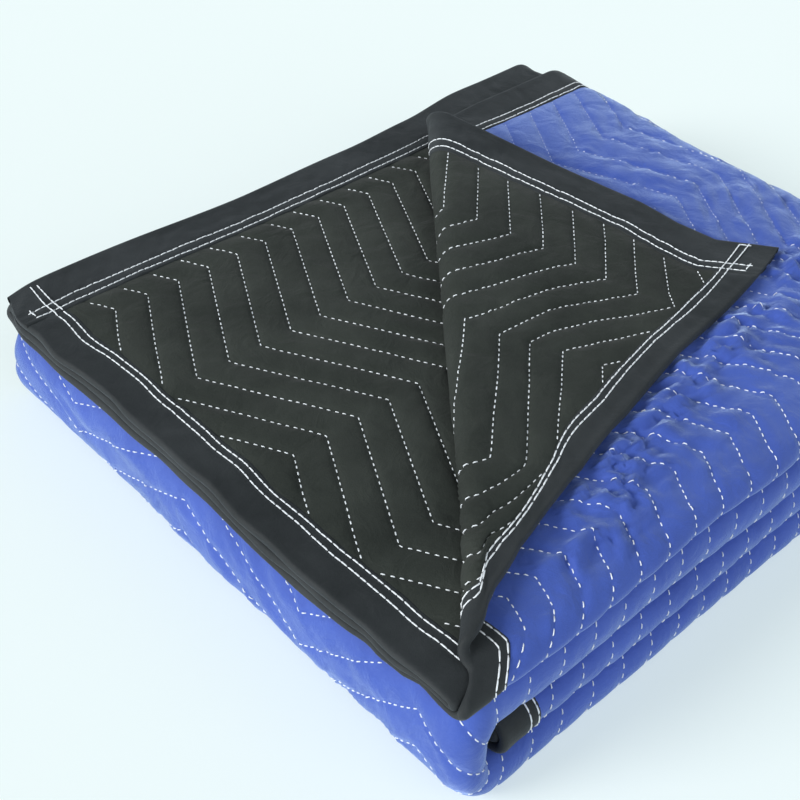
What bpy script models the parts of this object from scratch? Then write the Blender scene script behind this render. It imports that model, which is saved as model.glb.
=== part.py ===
"""Quilted moving blanket, folded in quarters both ways, one corner turned back."""
import math

import bmesh
import bpy
from mathutils import Vector
from mathutils.geometry import delaunay_2d_cdt

# All sizes below are in millimetres; vertices are written in metres.
MM = 0.001

# --- the folded stack -------------------------------------------------------
LAYER = 6.2                 # height one layer of cloth takes in the stack
STRIP = 4 * LAYER           # the blanket is first folded to a strip of four layers
TOP = 4 * STRIP             # and the strip is folded in four again
PANEL = 1.4                 # one quilted panel where it is pressed flat
PUFF = 2.0                  # one quilted panel between two sewn rows
GAP = 0.36                  # air between pieces that touch
TAPE = 1.0                  # folded edge tape

# --- lengthwise folds (first fold, seen across the strip) -------------------
SIDE_NEAR = 425.0           # where the folds on the near side start to turn
SIDE_FAR = 1.5              # where the hidden fold on the far side starts to turn
EDGE_FIRST = 26.0           # bound edge of the top layer
EDGE_LAST = -2.5            # bound edge of the layer under it

SAG_OUT = 9.0               # how much further out the lowest layers lie on the near side

# --- crosswise folds (second fold, seen along the strip) --------------------
END_FIRST = -9.0            # bound end of the top fold
TURN_BACK = 528.0           # start of the big turn at the back
TURN_BACK_R = 30.0
TURN_FRONT = 22.0           # start of the turn at the front
TURN_FRONT_R = 30.0
TURN_INNER = 506.0          # start of the small turn inside the big one
END_LAST = 23.0             # bound end of the inner fold

# --- middle of the finished stack on the floor ------------------------------
CENTRE_X = 265.6
CENTRE_V = 228.1

# --- quilting ---------------------------------------------------------------
ROW_PITCH = 25.4
ROW_SWING = 26.25
ROW_APEX = 91.7
ROW_START = 2.8
FIRST_APEX = 100.0

# --- edge tape --------------------------------------------------------------
LONG_BLACK, LONG_BLUE = 43.0, 32.0
END_BLACK, END_BLUE = 30.0, 30.0

# --- corner turned back -----------------------------------------------------
ROLL_FROM = (388.0, 31.0)
ROLL_TO = (-8.0, 436.0)
ROLL_HELD = (-24.0, 424.0)  # here the turned corner is still held down by the side fold
ROLL_HELD_DEPTH, ROLL_HELD_REACH = 24.0, 60.0
ROLL_R_FAR, ROLL_R_NEAR = 15.0, 4.2
FLAP_CORNER = (430.0, 320.0)
FLAP_HOLLOW = (15.0, -36.0)  # how far the flap's long edge is drawn in, in plan
FLAP_FALL = (
    # distance past the roll, share of the roll's height still left
    (0.0, 1.0),
    (60.0, 0.66),
    (125.0, 0.25),
    (190.0, 0.0),
)


def smooth(a, b, value):
    """0 below a, 1 above b, soft in between."""
    k = min(1.0, max(0.0, (value - a) / (b - a)))
    return k * k * (3.0 - 2.0 * k)


class Track:
    """A line of straights and arcs, walked by its own length; turns are clockwise positive."""

    def __init__(self, start, heading):
        self.parts = []
        self.point = Vector(start)
        self.heading = heading
        self.length = 0.0

    def add(self, length, turn=0.0):
        self.parts.append((self.length, length, turn, self.point.copy(), self.heading))
        self.length += length
        if turn:
            radius = length / turn
            side = Vector((math.sin(self.heading), -math.cos(self.heading)))
            centre = self.point + radius * side
            self.heading -= turn
            side = Vector((math.sin(self.heading), -math.cos(self.heading)))
            self.point = centre - radius * side
        else:
            self.point = self.point + length * Vector((math.cos(self.heading), math.sin(self.heading)))

    def at(self, distance):
        """Point and left-hand normal at a distance along the line."""
        chosen = self.parts[0]
        for part in self.parts:
            if distance >= part[0]:
                chosen = part
        start, length, turn, point, heading = chosen
        step = distance - start
        if turn and 0.0 <= step <= length:
            radius = length / turn
            side = Vector((math.sin(heading), -math.cos(heading)))
            centre = point + radius * side
            heading -= step / radius
            side = Vector((math.sin(heading), -math.cos(heading)))
            point = centre - radius * side
        else:
            point = point + step * Vector((math.cos(heading), math.sin(heading)))
        return point, Vector((-math.sin(heading), math.cos(heading)))

    def breaks(self, step):
        """Distances at which the line must be cut so its arcs look round."""
        cuts = []
        for start, length, turn, point, heading in self.parts:
            count = max(1, round(abs(turn) / step))
            cuts += [start + length * k / count for k in range(count)]
        return cuts[1:]


def strip_track():
    """The four lengthwise layers: across (distance, minus depth)."""
    outer, inner = 1.5 * LAYER, 0.5 * LAYER
    track = Track((EDGE_FIRST, -0.5 * LAYER), 0.0)
    track.add(SIDE_NEAR - EDGE_FIRST)
    track.add(math.pi * outer, math.pi)
    track.add(SIDE_NEAR - SIDE_FAR)
    track.add(math.pi * inner, math.pi)
    track.add(SIDE_NEAR - SIDE_FAR)
    track.add(math.pi * inner, -math.pi)
    track.add(SIDE_NEAR - EDGE_LAST)
    return track


def stack_track():
    """The outer line of the strip, rolled up end over end."""
    quarter = 0.5 * math.pi
    track = Track((END_FIRST, TOP), 0.0)
    track.add(TURN_BACK - END_FIRST)
    track.add(quarter * TURN_BACK_R, quarter)
    track.add(TOP - 2.0 * TURN_BACK_R)
    track.add(quarter * TURN_BACK_R, quarter)
    track.add(TURN_BACK - TURN_FRONT)
    track.add(quarter * TURN_FRONT_R, quarter)
    track.add(TOP - STRIP - 2.0 * TURN_FRONT_R)
    track.add(quarter * TURN_FRONT_R, quarter)
    track.add(TURN_INNER - TURN_FRONT)
    track.add(math.pi * STRIP, math.pi)
    track.add(TURN_INNER - END_LAST)
    return track


STRIP_TRACK = strip_track()
STACK_TRACK = stack_track()
WIDTH = STRIP_TRACK.length
LENGTH = STACK_TRACK.length
LAYER_ONE = SIDE_NEAR - EDGE_FIRST
FOLD_ONE = TURN_BACK - END_FIRST
HALF = 0.5 * GAP + PANEL
FLOOR = 0.5 * LAYER - HALF
TAPE_IN = HALF + GAP
TAPE_OUT = TAPE_IN + TAPE


def plan(x, v):
    """The stack is pushed a little askew and spreads towards the back."""
    return x - v * (0.037 + 0.00003 * x), v * (1.001 + 0.00007 * x)


def roll_frame():
    along = Vector(ROLL_FROM) - Vector(ROLL_TO)
    reach = along.length
    along.normalize()
    return along, Vector((-along.y, along.x)), reach


ALONG, INWARD, REACH = roll_frame()


def roll_at(x, v):
    """How far a point lies behind the line of the turned corner, and the roll's radius there."""
    offset = Vector((x, v)) - Vector(ROLL_TO)
    radius = ROLL_R_NEAR + (ROLL_R_FAR - ROLL_R_NEAR) * max(0.0, offset.dot(ALONG)) / REACH
    held = (Vector((x, v)) - Vector(ROLL_HELD)).length / ROLL_HELD_REACH
    return -offset.dot(INWARD) - ROLL_HELD_DEPTH * math.exp(-held * held), radius


def top_layer(s, t):
    """Plan position of the top layer before its corner is turned back."""
    return plan(END_FIRST + s, EDGE_FIRST + t)


def flap_direction():
    """Direction in which the turned corner is laid out, so that its tip reaches its place."""
    x, v = top_layer(0.0, 0.0)
    behind, radius = roll_at(x, v)
    foot = Vector((x, v)) + behind * INWARD
    return (Vector(FLAP_CORNER) - foot) / (behind - math.pi * radius)


FLAP_OUT = flap_direction()


def height_left(past):
    """Share of the roll's height left at a distance past the roll."""
    for (near, high), (far, low) in zip(FLAP_FALL, FLAP_FALL[1:]):
        if past < far:
            return high + (low - high) * (past - near) / (far - near)
    return 0.0


def turned(s, t, h):
    """A point of the top layer, with its corner rolled up and laid back."""
    x, v = top_layer(s, t)
    base = TOP - 0.5 * LAYER
    behind, radius = roll_at(x, v)
    if behind <= 0.0:
        return x, v, base + h
    foot = Vector((x, v)) + behind * INWARD
    angle = behind / radius
    if angle < math.pi:
        spot = foot + (h - radius) * math.sin(angle) * INWARD
        return spot.x, spot.y, base + radius + (h - radius) * math.cos(angle)
    past = behind - math.pi * radius
    spot = foot + past * FLAP_OUT
    share = max(0.0, min(1.0, t / LAYER_ONE))
    drawn = math.sin(math.pi * share ** 1.7) * math.exp(-(s / 150.0) ** 2)
    spot += drawn * smooth(0.0, 80.0, past) * Vector(FLAP_HOLLOW)
    return spot.x, spot.y, base + LAYER + (2.0 * radius - LAYER) * height_left(past) - h


def settle(v, z):
    """The thicker edge tape sinks level with the cloth around it on the floor."""
    return z + (TAPE_OUT - HALF) * (1.0 - smooth(58.0, 130.0, v)) * max(0.0, 1.0 - z / STRIP)


def place(s, t, h):
    """World position of a point of the cloth, h above its middle on the blue side."""
    if s < FOLD_ONE and t < LAYER_ONE:
        x, v, z = turned(s, t, h)
    else:
        across, tilt = STRIP_TRACK.at(t)
        across = across + h * tilt
        outer, out = STACK_TRACK.at(s)
        z = outer.y + across.y * out.y
        x, v = plan(outer.x + across.y * out.x, across.x)
        v += SAG_OUT * v / SIDE_NEAR * max(0.0, 1.0 - z / (TOP - LAYER))
    z = settle(v, z) - FLOOR
    return Vector((x - CENTRE_X, CENTRE_V - v, z)) * MM


def stage_s(stage, t):
    """Where a stage of the turned corner crosses a line along the cloth, t from the first edge."""
    angle, past = stage
    low, high = -150.0, FOLD_ONE
    for _ in range(40):
        middle = 0.5 * (low + high)
        behind, radius = roll_at(*top_layer(middle, t))
        if behind > angle * radius + past:
            low = middle
        else:
            high = middle
    return low


def stage_t(stage, s):
    """The same, on a line across the cloth, s from the first end."""
    low, high = -150.0, LAYER_ONE
    for _ in range(40):
        middle = 0.5 * (low + high)
        if stage_s(stage, middle) > s:
            low = middle
        else:
            high = middle
    return low


# Each stage is an angle round the roll and a distance past it.
ROLL_STAGES = [(math.pi * k / 8.0, 0.0) for k in range(9)]
FLAP_STAGES = [(math.pi, past) for past, _ in FLAP_FALL[1:]]


def row_s(k, t):
    """Where a sewn row runs at a distance t from the first long edge."""
    phase = ((t - FIRST_APEX) / ROW_APEX) % 2.0
    return ROW_START + ROW_PITCH * k + ROW_SWING * (1.0 - 2.0 * abs(phase - 1.0))


def rows_in(s_low, s_high, t_low, t_high):
    """Sewn rows and the lines midway between them, cut to a window of the flat cloth."""
    stops = [t_low]
    apex = FIRST_APEX + ROW_APEX * math.ceil((t_low - FIRST_APEX) / ROW_APEX)
    while apex < t_high:
        stops.append(apex)
        apex += ROW_APEX
    stops.append(t_high)
    pieces = []
    for half in range(int(2 * (s_low - 60.0) / ROW_PITCH), int(2 * (s_high + 60.0) / ROW_PITCH)):
        for t_a, t_b in zip(stops, stops[1:]):
            s_a, s_b = row_s(0.5 * half, t_a + 0.001), row_s(0.5 * half, t_b - 0.001)
            ends = []
            for bound in (s_low, s_high):
                if (s_a - bound) * (s_b - bound) < 0.0:
                    share = (bound - s_a) / (s_b - s_a)
                    ends.append((bound, t_a + share * (t_b - t_a)))
            ends += [(s, t) for s, t in ((s_a, t_a), (s_b, t_b)) if s_low <= s <= s_high]
            if len(ends) == 2 and abs(ends[0][1] - ends[1][1]) > 1.0:
                pieces.append(ends)
    return pieces


WINDOWS = (
    # s_low, s_high, t_low, t_high, black side only
    (36.0, 530.0, 49.0, 390.0, False),
    (36.0, 400.0, WIDTH - 425.0, WIDTH - 49.0, True),
)


def shows(s, t, side):
    """Whether a point of the flat cloth can be seen on the given side of the finished stack."""
    if t < LAYER_ONE:
        behind, _ = roll_at(*top_layer(s, t))
        return behind < -75.0 if side > 0 else behind > 0.0
    behind, _ = roll_at(*plan(END_FIRST + s, EDGE_LAST + WIDTH - t))
    return side < 0 and behind > -14.0


def puffed(s, t, side):
    """Thickness of one panel as a share of PUFF: pressed flat, or raised between sewn rows."""
    pressed = PANEL / PUFF
    for s_low, s_high, t_low, t_high, black_only in WINDOWS:
        inside = s_low + 0.5 < s < s_high - 0.5 and t_low + 0.5 < t < t_high - 0.5
        if inside and shows(s, t, side):
            across = (s - row_s(0.0, t)) / ROW_PITCH % 1.0
            raised = 0.55 + 0.45 * math.sqrt(1.0 - abs(2.0 * across - 1.0))
            return raised
    return pressed


def new_object(name, points, faces, material, weights=None, thickness=TAPE):
    """An open surface given its thickness outwards."""
    mesh = bpy.data.meshes.new(name)
    mesh.from_pydata([tuple(p) for p in points], [], faces)
    mesh.materials.append(material)
    mesh.validate()
    item = bpy.data.objects.new(name, mesh)
    BLANKET.objects.link(item)
    solid = item.modifiers.new("thickness", "SOLIDIFY")
    solid.thickness = thickness * MM
    solid.offset = 1.0
    solid.use_even_offset = True
    if weights:
        group = item.vertex_groups.new(name="puff")
        for index, weight in enumerate(weights):
            group.add([index], weight, "REPLACE")
        solid.vertex_group = "puff"
    for polygon in mesh.polygons:
        polygon.use_smooth = True
    return item


def panel(name, side, material):
    """One quilted face: side is +1 for the blue face, -1 for the black one."""
    rim = TAPE_OUT + GAP
    s_cuts = [rim] + STACK_TRACK.breaks(math.pi / 8.0) + [LENGTH - rim]
    t_cuts = [rim] + STRIP_TRACK.breaks(math.pi / 6.0) + [WIDTH - rim]
    t_cuts += [49.0, 80.0, 105.0]
    lines = [[(s, rim), (s, WIDTH - rim)] for s in s_cuts]
    lines += [[(rim, t), (LENGTH - rim, t)] for t in t_cuts]
    lines += [[(rim, t), (FOLD_ONE, t)] for t in (145.0, 200.0, 265.0)]
    lines += [[(rim, t), (60.0, t)] for t in (215.0, 255.0, 295.0, 312.0, 326.0, 340.0, 354.0, 368.0)]
    lines += [[(s, rim), (s, LAYER_ONE)] for s in (60.0, 110.0, 180.0, 260.0)]
    for stage in ROLL_STAGES + FLAP_STAGES:
        last = min(stage_t(stage, rim), LAYER_ONE - 0.5)
        stops = [rim + 70.0 * k for k in range(5)]
        stops += [290.0 + (last - 290.0) * k / 10.0 for k in range(11)] if last > 300.0 else [last]
        stops = [t for t in stops if t <= last]
        line = [(max(rim, stage_s(stage, t)), t) for t in stops]
        lines += [list(pair) for pair in zip(line, line[1:])]
    for s_low, s_high, t_low, t_high, black_only in WINDOWS:
        if not (black_only and side > 0):
            rows = rows_in(s_low, s_high, t_low, t_high)
            lines += [row for row in rows if shows(*(0.5 * (Vector(row[0]) + Vector(row[1]))), side)]
            lines += [[(s, t_low), (s, t_high)] for s in (s_low, s_high)]
            lines += [[(s_low, t), (s_high, t)] for t in (t_low, t_high)]
    spots, edges = [], []
    for line in lines:
        edges.append((len(spots), len(spots) + 1))
        spots += [Vector(end) for end in line]
    flat, _, faces, _, _, _ = delaunay_2d_cdt(spots, edges, [], 0, 0.4)
    points = [place(p.x, p.y, 0.5 * side * GAP) for p in flat]
    weights = [puffed(p.x, p.y, side) for p in flat]
    if side > 0:
        faces = [tuple(reversed(face)) for face in faces]
    return new_object(name, points, faces, material, weights, PUFF)


def tape_profile(black, blue, cuts):
    """The folded tape across its width: (distance from the bound edge, height)."""
    profile = [(black - (black - TAPE_OUT) * k / cuts, -TAPE_IN) for k in range(cuts)]
    for k in range(5):
        turn = math.pi * k / 4.0
        profile.append((TAPE_OUT - TAPE_IN * math.sin(turn), -TAPE_IN * math.cos(turn)))
    profile += [(TAPE_OUT + (blue - TAPE_OUT) * k / cuts, TAPE_IN) for k in range(1, cuts + 1)]
    return profile


def tape(name, stops, profile, spot, flip, material):
    """A folded tape: spot(stop, distance, height) gives the place on the flat cloth."""
    points = [place(*spot(stop, d, h)) for stop in stops for d, h in profile]
    count = len(profile)
    faces = []
    for i in range(len(stops) - 1):
        for j in range(count - 1):
            a = i * count + j
            face = (a, a + 1, a + count + 1, a + count)
            faces.append(tuple(reversed(face)) if flip else face)
    return new_object(name, points, faces, material)


def corner_stages(step):
    """The stages of the turned corner in walking order from its tip, with even steps on the flap."""
    count = round(FLAP_FALL[-1][0] / step)
    distances = [FLAP_FALL[-1][0] * (count - k) / count for k in range(count)]
    kinks = [past for past, _ in FLAP_FALL[1:-1]]
    distances = sorted(set(distances + kinks), reverse=True)
    return [(math.pi, past) for past in distances] + list(reversed(ROLL_STAGES))


def cloth_material(name, colour, roughness):
    material = bpy.data.materials.new(name)
    material.use_nodes = True
    shader = material.node_tree.nodes["Principled BSDF"]
    shader.inputs["Base Color"].default_value = (*colour, 1.0)
    shader.inputs["Roughness"].default_value = roughness
    shader.inputs["Metallic"].default_value = 0.0
    return material


for old in list(bpy.context.scene.objects):
    bpy.data.objects.remove(old)
BLANKET = bpy.data.collections.new("moving_blanket")
bpy.context.scene.collection.children.link(BLANKET)

BLUE = cloth_material("blue_cloth", (0.10, 0.15, 0.62), 0.8)
BLACK = cloth_material("black_cloth", (0.030, 0.034, 0.033), 0.85)
BINDING = cloth_material("black_tape", (0.020, 0.023, 0.026), 0.7)

panel("blue_face", 1.0, BLUE)
panel("black_back", -1.0, BLACK)

LONG_CUTS = STACK_TRACK.breaks(math.pi / 8.0)
CROSS_CUTS = STRIP_TRACK.breaks(math.pi / 6.0)


def long_spot(last):
    """A place on a long tape; a stop is a distance along it or a stage of the turned corner."""
    def spot(stop, d, h):
        if isinstance(stop, tuple):
            return (stage_s(stop, d), d, h)
        return (stop, WIDTH - d if last else d, h)
    return spot


def end_spot(last):
    """An end tape stops short of the long tapes, which differ in width front and back."""
    def spot(stop, d, h):
        if isinstance(stop, tuple):
            return (d, stage_t(stop, d), h)
        blue_share = smooth(0.0, TAPE_IN, h)
        margin = LONG_BLACK + (LONG_BLUE - LONG_BLACK) * blue_share + 2.0 * GAP
        return (LENGTH - d if last else d, min(max(stop, margin), WIDTH - margin), h)
    return spot


long_profile = tape_profile(LONG_BLACK, LONG_BLUE, 3)
end_profile = tape_profile(END_BLACK, END_BLUE, 4)
long_stops = [0.2] + LONG_CUTS + [LENGTH - 0.2]
end_stops = [0.0] + CROSS_CUTS + [WIDTH]
first_long_stops = [0.2] + corner_stages(38.0) + long_stops[1:]
first_end_stops = [0.0] + corner_stages(14.0) + end_stops[1:]
tape("binding_long_first", first_long_stops, long_profile, long_spot(False), False, BINDING)
tape("binding_long_last", long_stops, long_profile, long_spot(True), True, BINDING)
tape("binding_end_first", first_end_stops, end_profile, end_spot(False), True, BINDING)
tape("binding_end_last", end_stops, end_profile, end_spot(True), False, BINDING)
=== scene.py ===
"""A quilted moving blanket folded flat in quarters, with one corner turned back, on a pale floor."""
import math
from functools import partial

import bpy
import numpy as np
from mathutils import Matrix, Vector


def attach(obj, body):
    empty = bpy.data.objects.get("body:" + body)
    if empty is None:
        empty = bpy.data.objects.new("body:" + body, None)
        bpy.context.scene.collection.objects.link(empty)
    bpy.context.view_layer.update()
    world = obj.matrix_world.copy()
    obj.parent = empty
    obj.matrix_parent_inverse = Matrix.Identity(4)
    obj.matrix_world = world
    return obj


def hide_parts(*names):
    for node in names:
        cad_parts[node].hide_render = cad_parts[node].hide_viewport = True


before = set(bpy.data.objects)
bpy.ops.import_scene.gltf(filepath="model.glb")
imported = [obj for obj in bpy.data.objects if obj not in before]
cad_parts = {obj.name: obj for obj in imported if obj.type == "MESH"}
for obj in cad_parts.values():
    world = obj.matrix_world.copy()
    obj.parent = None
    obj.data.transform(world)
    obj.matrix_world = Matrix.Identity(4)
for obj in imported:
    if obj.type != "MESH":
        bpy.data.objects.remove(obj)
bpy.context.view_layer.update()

# --- Blue face ----------------------------------------------------------------------------------
# The blanket's outer face: blue woven polyester, 1.72 by 2.33 m, quilted to the black face over a
# soft filling and bound in with it. The blanket is folded by hand: lengthwise to a strip of four
# layers, the strip rolled over end by end, and its first corner turned back over the top.

# Sizes are in millimetres. On the flat cloth s runs along the blanket and t across it; h is the
# height above the middle of its thickness, on the blue side. In the stack x runs along, v across.
MM = 0.001
LAYER = 6.2  # height that one layer takes in the stack
STRIP = 4.0 * LAYER
TOP = 4.0 * STRIP
PANEL = 1.4  # one quilted face, pressed flat
GAP = 0.36  # air between neighbouring pieces
HALF = 0.5 * GAP + PANEL
FLOOR = 0.5 * LAYER - HALF
TAPE_IN = HALF + GAP
TAPE_OUT = TAPE_IN + 1.0
BLUE_SIDE, BLACK_SIDE = 1.0, -1.0

SIDE_NEAR, SIDE_FAR = 425.0, 1.5  # where the lengthwise folds begin to turn
EDGE_FIRST, EDGE_LAST = 26.0, -2.5  # the bound long edges
TURN_BACK, TURN_FRONT, TURN_INNER = 528.0, 22.0, 506.0  # where the strip begins to turn
TURN_R = 30.0
END_FIRST, END_LAST = -9.0, 23.0  # the bound ends
SAG_OUT = 4.8  # how much further out the lowest layers lie on the near side
MIDDLE_X, MIDDLE_V = 265.6, 228.1
QUARTER_TURN, HALF_TURN = 0.5 * math.pi, math.pi


def straight(length):
    return length, 0.0


def bend(radius, turn):
    return radius * abs(turn), turn


def laid_track(x, y, pieces):
    """Straights and clockwise bends as a table: start, length, turn, x, y, heading."""
    rows, start, heading = [], 0.0, 0.0
    for length, turn in pieces:
        rows.append((start, length, turn, x, y, heading))
        if turn:
            radius = length / turn
            cx, cy = x + radius * math.sin(heading), y - radius * math.cos(heading)
            heading -= turn
            x, y = cx - radius * math.sin(heading), cy + radius * math.cos(heading)
        else:
            x, y = x + length * math.cos(heading), y + length * math.sin(heading)
        start += length
    return np.array(rows), start


def walk(track, distance):
    """Points and left-hand normals at distances along a laid track."""
    which = np.clip(np.searchsorted(track[:, 0], distance, side="right") - 1, 0, len(track) - 1)
    start, length, turn, x, y, heading = track[which].T
    step = distance - start
    bent = (turn != 0.0) & (step >= 0.0) & (step <= length)
    radius = np.where(bent, length / np.where(turn == 0.0, 1.0, turn), 1.0)
    end = heading - np.where(bent, step / radius, 0.0)
    round_x = x + radius * (np.sin(heading) - np.sin(end))
    round_y = y - radius * (np.cos(heading) - np.cos(end))
    px = np.where(bent, round_x, x + step * np.cos(heading))
    py = np.where(bent, round_y, y + step * np.sin(heading))
    return px, py, -np.sin(end), np.cos(end)


STRIP_TRACK, WIDTH = laid_track(
    EDGE_FIRST,
    -0.5 * LAYER,
    [
        straight(SIDE_NEAR - EDGE_FIRST),
        bend(1.5 * LAYER, HALF_TURN),
        straight(SIDE_NEAR - SIDE_FAR),
        bend(0.5 * LAYER, HALF_TURN),
        straight(SIDE_NEAR - SIDE_FAR),
        bend(0.5 * LAYER, -HALF_TURN),
        straight(SIDE_NEAR - EDGE_LAST),
    ],
)
STACK_TRACK, LENGTH = laid_track(
    END_FIRST,
    TOP,
    [
        straight(TURN_BACK - END_FIRST),
        bend(TURN_R, QUARTER_TURN),
        straight(TOP - 2.0 * TURN_R),
        bend(TURN_R, QUARTER_TURN),
        straight(TURN_BACK - TURN_FRONT),
        bend(TURN_R, QUARTER_TURN),
        straight(TOP - STRIP - 2.0 * TURN_R),
        bend(TURN_R, QUARTER_TURN),
        straight(TURN_INNER - TURN_FRONT),
        bend(STRIP, HALF_TURN),
        straight(TURN_INNER - END_LAST),
    ],
)

# Places on the flat cloth. The folds are named for the side of the stack on which they lie.
LAYER_ONE = SIDE_NEAR - EDGE_FIRST
NEAR_FOLD_END = LAYER_ONE + 29.4
FAR_FOLD, FAR_FOLD_END = 851.0, 861.5
INNER_FOLD, INNER_FOLD_END = 1285.0, 1294.6
FOLD_ONE = TURN_BACK - END_FIRST
ROUND_END = 94.2  # cloth taken by the two bends of one end
BACK_END = FOLD_ONE + ROUND_END + TOP - 2.0 * TURN_R
FRONT_END = BACK_END + TURN_BACK - TURN_FRONT

# The corner is rolled up about a line and laid back; the roll is tightest where it is held.
ROLL_FROM, ROLL_TO = np.array((388.0, 31.0)), np.array((-8.0, 436.0))
ROLL_R_FAR, ROLL_R_NEAR = 15.0, 4.2
HELD_X, HELD_V = -24.0, 424.0
HELD_DEPTH, HELD_REACH = 8.0, 60.0
REACH = np.linalg.norm(ROLL_FROM - ROLL_TO)
ALONG = (ROLL_FROM - ROLL_TO) / REACH
INWARD = np.array((-ALONG[1], ALONG[0]))
FLAP_CORNER = np.array((430.0, 320.0))

# Its end edge is drawn in to a hollow, and both its edges wander: a place on the edge, an offset.
HOLLOW = np.array((15.0, -36.0))
HOLLOW_SKEW, HOLLOW_DEPTH, HOLLOW_FREE = 1.7, 150.0, 80.0
END_EDGE_T = (0.0, 150.0, 225.0, 280.0, 300.0, 332.0, 352.0, 366.0, 380.0)
END_EDGE_V = (0.0, 0.0, 6.0, 4.0, -1.0, -11.0, -11.0, -6.0, 0.0)
LONG_EDGE_S = (0.0, 16.0, 46.0, 85.0, 130.0, 180.0)
LONG_EDGE_X = (0.0, -6.0, -18.0, -13.0, -4.0, 0.0)
END_EDGE_DEPTH, LONG_EDGE_DEPTH, EDGE_FREE = 110.0, 140.0, 14.0

# How much of the roll's height is left at a distance past the roll.
FALL_PAST = (0.0, 60.0, 125.0, 190.0)
FALL_LEFT = (1.0, 0.66, 0.25, 0.0)


def ease(low, high, value):
    """0 below low, 1 above high, soft in between."""
    k = np.clip((value - low) / (high - low), 0.0, 1.0)
    return k * k * (3.0 - 2.0 * k)


def between(rise, risen, fall, fallen, value):
    """1 from risen to fall, 0 beyond rise and fallen, soft in between."""
    return ease(rise, risen, value) * (1.0 - ease(fall, fallen, value))


def bell(distance, reach):
    """1 at no distance, dying away over the reach."""
    return np.exp(-((distance / reach) ** 2))


def uneven(x, y, seed):
    """Smooth, repeatable unevenness from -1 to 1, with lumps about one unit across."""
    xi, yi = np.floor(x), np.floor(y)
    fx, fy = x - xi, y - yi
    fx, fy = fx * fx * (3.0 - 2.0 * fx), fy * fy * (3.0 - 2.0 * fy)

    def lump(a, b):
        k = np.sin(a * 127.1 + b * 311.7 + seed * 74.7) * 43758.5453
        return 2.0 * (k - np.floor(k)) - 1.0

    near = lump(xi, yi) * (1.0 - fx) + lump(xi + 1.0, yi) * fx
    far = lump(xi, yi + 1.0) * (1.0 - fx) + lump(xi + 1.0, yi + 1.0) * fx
    return near * (1.0 - fy) + far * fy


SKEW, SKEW_GROWTH = 0.037, 0.00003
SPREAD, SPREAD_GROWTH = 1.001, 0.00007


def plan(x, v):
    """The stack is pushed a little askew and spreads towards the back."""
    return x - v * (SKEW + SKEW_GROWTH * x), v * (SPREAD + SPREAD_GROWTH * x)


def roll_at(x, v):
    """How far a point lies behind the line of the turned corner, and the roll's radius there."""
    dx, dv = x - ROLL_TO[0], v - ROLL_TO[1]
    along = np.maximum(0.0, dx * ALONG[0] + dv * ALONG[1])
    radius = ROLL_R_NEAR + (ROLL_R_FAR - ROLL_R_NEAR) * along / REACH
    held = bell(np.hypot(x - HELD_X, v - HELD_V), HELD_REACH)
    return -(dx * INWARD[0] + dv * INWARD[1]) - HELD_DEPTH * held, radius


def flap_direction():
    """Direction in which the turned corner is laid out, so that its tip reaches its place."""
    x, v = plan(END_FIRST, EDGE_FIRST)
    behind, radius = roll_at(x, v)
    return (FLAP_CORNER - (np.array((x, v)) + behind * INWARD)) / (behind - math.pi * radius)


FLAP_OUT = flap_direction()
PULL, PULL_REACH = 19.0, 95.0
PULL_T = (290.0, LAYER_ONE - 8.0, LAYER_ONE - 6.0, LAYER_ONE + 14.0)


def pulled_back(s, t):
    """Where the corner is turned back, the cloth beside it is dragged along and gathers."""
    return PULL * bell(s, PULL_REACH) * between(*PULL_T, t)


def turned(s, t, h):
    """Points of the top layer, with its corner rolled up and laid back."""
    x, v = plan(END_FIRST + s, EDGE_FIRST + t)
    x = x + pulled_back(s, t)
    base = TOP - 0.5 * LAYER
    behind, radius = roll_at(x, v)
    foot = np.stack((x, v)) + behind * INWARD[:, None]
    angle = np.clip(behind / radius, 0.0, math.pi)
    curl = (h - radius) * np.sin(angle)
    past = np.maximum(0.0, behind - math.pi * radius)
    spot = foot + curl * INWARD[:, None] + past * FLAP_OUT[:, None]
    share = np.clip(t / LAYER_ONE, 0.0, 1.0)
    drawn = np.sin(math.pi * share**HOLLOW_SKEW) * bell(s, HOLLOW_DEPTH) * ease(0.0, HOLLOW_FREE, past)
    spot = spot + drawn * HOLLOW[:, None]
    end_edge = np.interp(t, END_EDGE_T, END_EDGE_V) * bell(s, END_EDGE_DEPTH)
    long_edge = np.interp(s, LONG_EDGE_S, LONG_EDGE_X) * bell(t, LONG_EDGE_DEPTH)
    spot += np.stack((long_edge, end_edge)) * np.minimum(1.0, past / EDGE_FREE)
    left = np.interp(past, FALL_PAST, FALL_LEFT)
    laid = LAYER + (2.0 * radius - LAYER) * left - h
    rolled = radius + (h - radius) * np.cos(angle)
    flat = behind <= 0.0
    z = base + np.where(flat, h, np.where(past > 0.0, laid, rolled))
    return np.where(flat, x, spot[0]), np.where(flat, v, spot[1]), z


# The hand-folded stack is never quite even. A kind of unevenness has a height, the size of its
# lumps in two directions, and a seed.
TOP_DENTS = (1.3, 95.0, 80.0, 1.0)
NEAR_BILLOWS = (1.6, 75.0, 60.0, 2.0)
NEAR_EDGE = (2.0, 58.0, 24.0, 3.0)
FRONT_EDGE = (1.8, 70.0, 30.0, 4.0)
RAGGED_OUT = (1.7, 26.0, 9.0, 5.0)
RAGGED_UP = (1.3, 31.0, 40.0, 6.0)
BUNCHED_OUT = (3.2, 14.0, 9.0, 7.0)
BUNCHED_UP = (2.4, 18.0, 17.0, 8.0)


def lumps(kind, a, b, piece_seed=0.0):
    """Unevenness of one kind at two distances; each piece of cloth has seeds of its own."""
    height, size_a, size_b, seed = kind
    return height * uneven(a / size_a, b / size_b, seed + piece_seed)


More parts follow.
